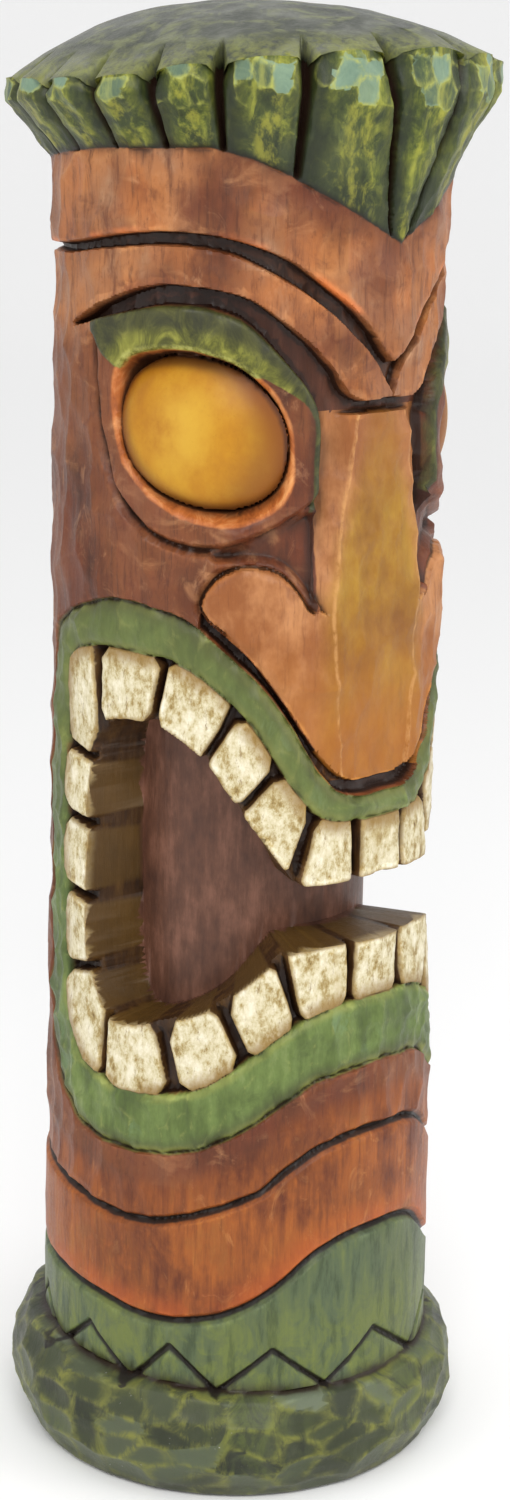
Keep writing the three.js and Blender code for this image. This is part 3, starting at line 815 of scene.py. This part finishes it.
def painted_resin():
    p = Paint("painted_resin")
    grain = p.noise(0.005, 6, (1, 1, 14), 0.65)
    streak = p.noise(0.014, 6, (1, 1, 5), 0.65)
    patch = p.noise(0.06, 5, (1, 1, 1.4), 0.62)
    wide_patch = p.noise(0.2, 3)
    brush = p.math("ADD", p.times(streak, 0.4), p.times(patch, 0.6))
    dabs = p.noise(0.03, 5, (1, 1, 1.6), 0.7, 1.2)
    fine = p.noise(0.004, 6, (1, 1, 1), 0.7)
    flecks = p.noise(0.009, 8, (1, 1, 1.6), 0.75)
    hollow = p.field("hollow")
    deep = p.field("hollow_wide")
    ragged = p.math("MULTIPLY_ADD", p.noise(0.02, 5), 3.0, -1.5)

    def inside(name, at_mm=0.0, soft=1.2):
        """One inside a painted field and nought outside it, with a ragged edge."""
        return p.between(p.math("ADD", p.field(name), ragged), at_mm - soft, at_mm + soft)

    def amount(value, low, high, most=1.0):
        """How much of a tone goes on, from none to most, as a value goes from low to high."""
        return p.between(value, low, high, (0.0, most))

    def field(name, low, high, most=1.0):
        return amount(p.field(name), low, high, most)

    # Wood: an orange-brown stain, each gouge mark in its own tone, with darker streaks over it
    wood = p.colours(patch, (0.32, "744020"), (0.44, "a66838"), (0.56, "c28452"), (0.7, "d9aa7e"))
    wood = p.mix(field("wood_cell", 0.15, 0.95, 0.4), wood, "b4652f")
    wood = p.mix(amount(streak, 0.5, 0.74, 0.7), wood, "4a2210")
    some = p.between(p.noise(0.07, 3), 0.45, 0.65)
    wood = p.mix(p.times(field("wood_ridge", 0.45, 1.0), some, 0.35), wood, "cf9560")
    red_wood = p.colours(
        brush, (0.28, "32160a"), (0.45, "582c16"), (0.6, "763e20"), (0.8, "96562e")
    )
    wood = p.mix(amount(wide_patch, 0.45, 0.62), wood, red_wood)
    wood = p.mix(field("band", -60, -110, 0.75), wood, red_wood)
    wood = p.mix(amount(grain, 0.5, 0.7, 0.55), wood, "3a1d12")
    wood = p.mix(amount(dabs, 0.56, 0.74, 0.35), wood, "cf986c")
    wood = p.mix(amount(flecks, 0.54, 0.66, 0.35), wood, "4a2412")
    swipes = p.noise(0.03, 5, (1.6, 1.6, 1), 0.6, 0.6)
    wood = p.mix(amount(swipes, 0.54, 0.72, 0.35), wood, "c98f60")
    wood = p.mix(amount(swipes, 0.46, 0.3, 0.55), wood, "5a2c16")
    wood = p.mix(amount(dabs, 0.42, 0.26, 0.5), wood, "5c2e18")
    body = p.colours(brush, (0.36, "5a2810"), (0.46, "7e421a"), (0.55, "9a541e"), (0.7, "b0702e"))
    body = p.mix(amount(patch, 0.5, 0.72, 0.5), body, "5c2a12")
    body = p.mix(amount(grain, 0.48, 0.7, 0.4), body, "4a1f0d")
    body = p.mix(amount(dabs, 0.56, 0.72, 0.45), body, "c08048")
    burnt = p.times(amount(wide_patch, 0.5, 0.66), amount(dabs, 0.3, 0.6), 0.6)
    body = p.mix(burnt, body, "4f2410")
    colour = p.mix(field("wave_1", 51, 30), wood, body)
    near_wave = p.times(field("wave_2", 38, 4), p.between(p.noise(0.05, 4), 0.3, 0.6))
    colour = p.mix(p.times(near_wave, 0.55), colour, "b4541e")
    under_lip = p.times(field("wave_1", -2, 40), amount(patch, 0.4, 0.6), 0.5)
    colour = p.mix(under_lip, colour, "5a2612")
    # Painted highlight along the lower edge of the band
    band_edge_highlight = p.times(field("band", 9, 1), field("band", -1, 0))
    colour = p.mix(p.times(band_edge_highlight, 0.7, some), colour, "c4602a")

    # Painted shade in the recesses round the eyes, and painted shadow in the groove under the band
    recess_shade = p.colours(streak, (0.3, "2e150c"), (0.55, "5a2f1e"), (0.75, "7d4a30"))
    colour = p.mix(p.times(inside("socket", 0, 2), 0.85), colour, recess_shade)

    # Painted shadow in the groove under the band
    groove_shadow = p.times(inside("groove", 0, 1.5), 0.8)
    colour = p.mix(groove_shadow, colour, p.mix(streak, "22110a", "4a2817"))

    # Painted shadow beside the nose, in the fold, and between its wings and the lip, in the cleft
    from_fold = p.math("ADD", p.field("fold"), p.times(ragged, 2.0))
    colour = p.mix(p.times(amount(from_fold, 16, 1), 0.85), colour, "24110a")
    colour = p.mix(field("cleft", 0.2, 0.7, 0.9), colour, "1e110b")

    # Nose: golden down the middle of its front, orange at the tip and brown at the sides
    nose = p.colours(patch, (0.35, "7c4e14"), (0.5, "94661a"), (0.68, "ad842a"))
    side_of_gold = p.math("MULTIPLY_ADD", p.field("height"), 0.14, -142.0)
    ragged_side = p.math("ADD", p.field("nose_side"), p.times(ragged, 4.0))
    side_of_gold = p.math("ADD", ragged_side, side_of_gold)
    nose_wood = p.mix(amount(patch, 0.35, 0.65), "8a5026", "bd8252")
    nose_wood = p.mix(amount(grain, 0.5, 0.72, 0.5), nose_wood, "5e3018")
    nose = p.mix(amount(side_of_gold, -22, 12), nose, nose_wood)
    nose = p.mix(field("height", 950, 770, 0.85), nose, p.mix(dabs, "8a4a18", "b4742a"))
    nose = p.mix(amount(brush, 0.52, 0.7, 0.5), nose, "6a3a12")
    nose = p.mix(field("height", 1010, 1110, 0.5), nose, "94592a")
    # Painted highlight along the edge between the nose's front and its sides
    nose_edge_highlight = p.times(field("nose_side", -3, 0), field("nose_side", 4, 1))
    nose = p.mix(p.times(nose_edge_highlight, amount(flecks, 0.35, 0.6), 0.5), nose, "d09a60")
    colour = p.mix(inside("nose"), colour, nose)

    # Lid, eye rim and eyeball, with a painted highlight and painted shade on the ball
    lid = p.colours(dabs, (0.28, "282a10"), (0.46, "55561e"), (0.58, "7a7a2e"), (0.75, "a8a44a"))
    lid = p.mix(field("opening", -12, -26, 0.75), lid, "23241a")
    lid = p.mix(p.times(field("opening", -6, -1), amount(flecks, 0.4, 0.6), 0.7), lid, "b0b060")
    rim = p.colours(dabs, (0.3, "7a3c18"), (0.5, "b0622c"), (0.7, "d08c54"))
    colour = p.mix(inside("rim", 0, 1.5), colour, rim)
    colour = p.mix(inside("lid"), colour, lid)
    eye = p.colours(patch, (0.3, "a0640a"), (0.5, "b27a0e"), (0.7, "c0901e"))
    eye = p.mix(amount(fine, 0.55, 0.75, 0.25), eye, "7a4a0c")
    # Painted highlight round the glint on the eyeball
    eye = p.mix(p.times(field("from_glint", 50, 10), amount(patch, 0.3, 0.6), 0.6), eye, "c99f34")
    # Painted shade in a ring round the eyeball's edge
    from_rim = p.math("ADD", p.field("opening"), ragged)
    eye = p.mix(p.times(amount(from_rim, 26, 5), 0.85), eye, "6a3a0e")
    # Painted shade on the side of the eyeball away from the glint
    from_glint = p.math("ADD", p.field("from_glint"), p.times(ragged, 5.0))
    eye = p.mix(p.times(amount(from_glint, 48, 90), 0.8), eye, "7c430c")
    # Painted shade in the gap where the eyeball meets the lid
    eye = p.mix(field("opening", 9, 4, 0.8), eye, "3a1a0a")
    colour = p.mix(inside("eye", 1.0, 1.2), colour, eye)

    # Lips, gums, teeth and the mouth's core
    lips = p.colours(brush, (0.34, "3e4a26"), (0.46, "52622f"), (0.56, "66783e"), (0.68, "84905a"))
    lips = p.mix(p.times(field("cell", 0.78, 0.9, 0.3), amount(dabs, 0.4, 0.6)), lips, "7c9878")
    lips = p.mix(amount(dabs, 0.46, 0.3, 0.4), lips, "3a4622")
    # Painted shade towards the lips' outer edges, as under the lower lip
    lips = p.mix(p.times(field("gum", -14, -25), field("lip", 22, 5), 0.6), lips, "3b3a22")
    lips = p.mix(p.times(field("ridge", 0.3, 1.0), amount(dabs, 0.5, 0.65), 0.35), lips, "a2a45c")
    lips = p.mix(p.times(field("lip", 12, 3), amount(patch, 0.4, 0.6), 0.55), lips, "8f9248")
    lips = p.mix(field("height", 640, 760, 0.5), lips, p.mix(dabs, "30371d", "6a6c36"))
    colour = p.mix(inside("lip"), colour, lips)
    gum = p.colours(streak, (0.3, "1f1006"), (0.5, "3e2710"), (0.75, "5f431f"))
    colour = p.mix(field("gum", 0, 1), colour, gum)
    behind_teeth = p.times(field("mouth", -3, -1.2), field("any_tooth", -1, 3), 0.8)
    colour = p.mix(behind_teeth, colour, p.mix(patch, "3a280f", "6b4e22"))
    scratches = p.noise(0.005, 8, (1, 1, 3.5), 0.8)
    few_stains = p.times(flecks, 0.55)
    stains = p.math("ADD", few_stains, p.times(p.noise(0.022, 5, (1, 1, 1.3), 0.7), 0.45))
    ivory = p.colours(stains, (0.4, "e2dac2"), (0.5, "cbc09c"), (0.57, "a08a56"), (0.65, "684d22"))
    ivory = p.mix(amount(patch, 0.52, 0.68, 0.55), ivory, "b09c6a")
    ivory = p.mix(amount(scratches, 0.55, 0.66, 0.75), ivory, "7a5c2c")
    # Painted shade: browner towards the gums, under the lips
    ivory = p.mix(p.times(field("gum", 20, 3), amount(patch, 0.3, 0.55), 0.8), ivory, "86662e")
    ivory = p.mix(field("tooth", 6, 1.5, 0.8), ivory, p.mix(fine, "5e4018", "a88b50"))
    colour = p.mix(field("tooth", 1.0, 1.8), colour, ivory)
    core = p.colours(brush, (0.34, "38221a"), (0.5, "5c3b2c"), (0.66, "845a48"))
    colour = p.mix(field("mouth", 1.15, 1.5), colour, core)

    # Green below the lower wave
    low = p.colours(streak, (0.3, "3c4832"), (0.48, "4c5a42"), (0.6, "586442"), (0.78, "747c3e"))
    drab = p.between(wide_patch, 0.35, 0.65, (0.1, 0.6))
    low = p.mix(drab, low, p.mix(patch, "4a5636", "6c7238"))
    low = p.mix(p.times(field("height", 250, 150), amount(dabs, 0.4, 0.6), 0.6), low, "6e7834")
    low = p.mix(amount(streak, 0.5, 0.36, 0.5), low, "33402a")
    colour = p.mix(field("wave_2", 1.5, -1.5), colour, low)

    # Foot: dark stones with a yellow-green brushed over their ridges
    stone = p.colours(
        p.field("cell"), (0.1, "20241a"), (0.5, "3a4028"), (0.8, "525a44"), (0.95, "7d8772")
    )
    stone = p.mix(amount(patch, 0.4, 0.75, 0.7), stone, p.mix(fine, "3c4230", "5c6048"))
    lit = p.times(
        field("ridge", 0.05, 1.0),
        amount(dabs, 0.38, 0.62),
        p.between(patch, 0.3, 0.6, (0.3, 0.9)),
    )
    stone = p.mix(lit, stone, "7d7e36")
    mossy = p.times(amount(wide_patch, 0.4, 0.6), amount(dabs, 0.4, 0.65), 0.5)
    stone = p.mix(mossy, stone, "5f6a30")
    stone = p.mix(field("height", 40, 8, 0.5), stone, "4b4c42")
    specks = p.times(amount(fine, 0.64, 0.68), p.between(p.noise(0.05, 2), 0.6, 0.7))
    stone = p.mix(p.times(specks, 0.8), stone, "d8d6dc")
    colour = p.mix(inside("foot"), colour, stone)

    # Crown
    leaf = p.colours(
        p.math("ADD", p.times(dabs, 0.5), p.times(streak, 0.5)),
        (0.34, "1f2812"), (0.45, "3d481c"), (0.55, "687024"), (0.68, "a3a43a"),
    )
    dull = amount(wide_patch, 0.45, 0.65, 0.8)
    leaf = p.mix(dull, leaf, p.colours(brush, (0.36, "262c1e"), (0.64, "545c3c")))
    on_ridge = p.times(field("ridge", 0.5, 1.0), amount(fine, 0.4, 0.6, 0.7), some)
    leaf = p.mix(on_ridge, leaf, "989a3a")
    leaf = p.mix(field("leaf_up", 0.35, 0.0, 0.6), leaf, "1c2414")
    oval = p.math("ADD", p.field("oval"), p.math("MULTIPLY", ragged, 0.12))
    leaf = p.mix(field("cell", 0.55, 0.0, 0.5), leaf, "232b16")
    leaf = p.mix(field("leaf_side", 0.35, 0.9, 0.85), leaf, "1b2213")
    on_flat = p.times(field("leaf_side", 0.4, 0.2), amount(streak, 0.45, 0.62), 0.5)
    leaf = p.mix(on_flat, leaf, "a09c36")
    leaf = p.mix(p.times(p.field("leaf_edge"), amount(dabs, 0.48, 0.62), 0.6), leaf, "9a9c3a")
    in_oval = p.times(amount(oval, -0.3, -0.15), p.between(p.field("cell"), 0.1, 0.8, (0.1, 0.9)))
    leaf = p.mix(in_oval, leaf, p.mix(dabs, "4f6a58", "8aa38c"))
    oval_net = p.times(
        amount(oval, -0.9, -0.2), field("ridge", 0.3, 1.0), amount(flecks, 0.35, 0.6), 0.75
    )
    leaf = p.mix(oval_net, leaf, "a9ab4c")
    clouds = p.noise(0.05, 6, (1, 1, 1), 0.6, 0.6)
    dome = p.colours(clouds, (0.3, "30342c"), (0.5, "4a4d44"), (0.7, "6f7168"))
    dome = p.mix(amount(dabs, 0.52, 0.72, 0.3), dome, "6a7440")
    dome = p.mix(field("cell", 0.6, 0.1, 0.45), dome, "30362a")
    dome = p.mix(p.times(field("ridge", 0.4, 1.0), amount(dabs, 0.4, 0.6), 0.45), dome, "8f9460")
    at_rim = p.times(field("leaf_up", 1.22, 1.04), amount(flecks, 0.35, 0.6), 0.5)
    dome = p.mix(at_rim, dome, "8c9048")
    leaf = p.mix(field("leaf_up", 0.94, 1.06), leaf, dome)
    # Painted shade in the deep notches between the leaves
    leaf = p.mix(field("notch", 0.3, 0.8), leaf, "12140d")
    leaf = p.mix(field("crown", 7, 0), leaf, "191a10")
    colour = p.mix(inside("crown"), colour, leaf)

    # Dark wash and painted shade in the hollows and cuts, and paint rubbed to a lighter tone on
    # the edges, which is also a painted highlight
    colour = p.mix(amount(hollow, 0.6, 2.8, 0.8), colour, "1a0f09")
    colour = p.mix(amount(deep, 0.8, 7, 0.5), colour, "2a160c")
    colour = p.mix(amount(deep, 6, 18, 0.3), colour, "1d120b")
    for name in ("wave_1_line", "wave_2_line", "zigzag_line"):
        colour = p.mix(field(name, -4.5, -2.5, 0.92), colour, "17100c")
    # Lighter paint on the raised edges, which also serves as a painted highlight
    edge_wear_and_highlight = p.times(amount(hollow, -0.7, -2.2), p.between(p.noise(0.035, 6), 0.44, 0.62), 0.55)
    edge_wear_and_highlight = p.times(edge_wear_and_highlight, field("eye", 1, -1))
    lighter = p.mix(1.0, colour, colour, "SCREEN")
    colour = p.mix(edge_wear_and_highlight, colour, lighter)

    p.put(colour, p.shader.inputs["Base Color"])
    shine = p.between(fine, 0.2, 0.8, (0.36, 0.52))
    shine = p.math("SUBTRACT", shine, p.times(field("eye", 0, 2), -0.06))
    p.put(shine, p.shader.inputs["Roughness"])
    p.shader.inputs["Specular IOR Level"].default_value = 0.28
    p.shader.inputs["Coat Weight"].default_value = 0.06
    p.shader.inputs["Coat Roughness"].default_value = 0.2
    bump = p.node("ShaderNodeBump")
    bump.inputs["Strength"].default_value = 0.4
    bump.inputs["Distance"].default_value = 0.002
    rough = p.math("ADD", p.times(grain, 0.7), p.times(flecks, 0.6))
    p.put(p.times(rough, p.between(p.field("eye"), 1, -1, (0.15, 1.0))), bump.inputs["Height"])
    p.put(bump.outputs[0], p.shader.inputs["Normal"])
    return p.material


statue.data.materials.clear()
statue.data.materials.append(painted_resin())
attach(statue, "root")
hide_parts("tiki_statue")

# Studio: the floor's extent along the camera's own direction, in metres

FLOOR_FROM, BEND_FROM, BEND, BEND_STEPS, BACKDROP_TOP, FLOOR_HALF = -13.0, 11.0, 2.0, 12, 9.0, 14


def plain(name, code, rough):
    material = bpy.data.materials.new(name)
    material.use_nodes = True
    shader = material.node_tree.nodes["Principled BSDF"]
    shader.inputs["Base Color"].default_value = linear(code)
    shader.inputs["Roughness"].default_value = rough
    return material


def floor():
    """A pale floor that curves up into a backdrop behind the figure, away from the camera."""
    section = [(FLOOR_FROM, 0.0)]
    for k in range(BEND_STEPS + 1):
        a = k / BEND_STEPS * math.pi / 2
        section.append((BEND_FROM + BEND * math.sin(a), BEND * (1 - math.cos(a))))
    section.append((BEND_FROM + BEND, BACKDROP_TOP))
    toward = Vector((1, 1, 0)).normalized()
    along = Vector((1, -1, 0)).normalized()
    vertices, faces = [], []
    for out_by, height in section:
        for side in (-FLOOR_HALF, FLOOR_HALF):
            vertices.append(toward * out_by + along * side + Vector((0, 0, height)))
    for k in range(len(section) - 1):
        faces.append((2 * k, 2 * k + 1, 2 * k + 3, 2 * k + 2))
    mesh = bpy.data.meshes.new("floor")
    mesh.from_pydata(vertices, [], faces)
    mesh.materials.append(plain("pale_floor", "ffffff", 0.9))
    mesh.shade_smooth()
    made = bpy.data.objects.new("floor", mesh)
    bpy.context.collection.objects.link(made)


def light(name, place, size, power):
    data = bpy.data.lights.new(name, "AREA")
    data.shape = "RECTANGLE"
    data.size, data.size_y = size
    data.energy = power
    made = bpy.data.objects.new(name, data)
    made.location = place
    made.rotation_euler = (LIGHTS_AIM - Vector(place)).to_track_quat("-Z", "Y").to_euler()
    bpy.context.collection.objects.link(made)


LIGHTS_AIM = Vector((0, 0, 0.8))

floor()
light("key", (-2.4, -2.6, 3.6), (2.2, 2.2), 90)
light("fill_right", (1.6, -2.8, 2.0), (2.0, 2.6), 30)
light("fill_left", (-3.0, 0.4, 1.6), (2.0, 2.6), 14)

world = bpy.data.worlds.new("studio")
world.use_nodes = True
world.node_tree.nodes["Background"].inputs["Color"].default_value = (1, 1, 1, 1)
world.node_tree.nodes["Background"].inputs["Strength"].default_value = 0.82
bpy.context.scene.world = world
bpy.context.scene.view_settings.view_transform = "Standard"

# Camera: at the photograph's own angle

YAW, PITCH, ROLL = (math.radians(a) for a in (-45.2556, 14.1, 0.95))
CAMERA_PLACE = (-1.9375, -1.9375, 1.435)
LENS, SENSOR_HEIGHT = 64.56, 36
forward = Vector(
    (-math.sin(YAW) * math.cos(PITCH), math.cos(YAW) * math.cos(PITCH), -math.sin(PITCH))
)
level = Vector((math.cos(YAW), math.sin(YAW), 0))
upward = level.cross(forward)
right = level * math.cos(ROLL) + upward * math.sin(ROLL)
upright = upward * math.cos(ROLL) - level * math.sin(ROLL)
camera_data = bpy.data.cameras.new("camera")
camera_data.sensor_fit = "VERTICAL"
camera_data.sensor_height = SENSOR_HEIGHT
camera_data.lens = LENS
camera = bpy.data.objects.new("camera", camera_data)
turned = Matrix((right, upright, -forward)).transposed()
camera.matrix_world = Matrix.Translation(CAMERA_PLACE) @ turned.to_4x4()
bpy.context.collection.objects.link(camera)
bpy.context.scene.camera = camera
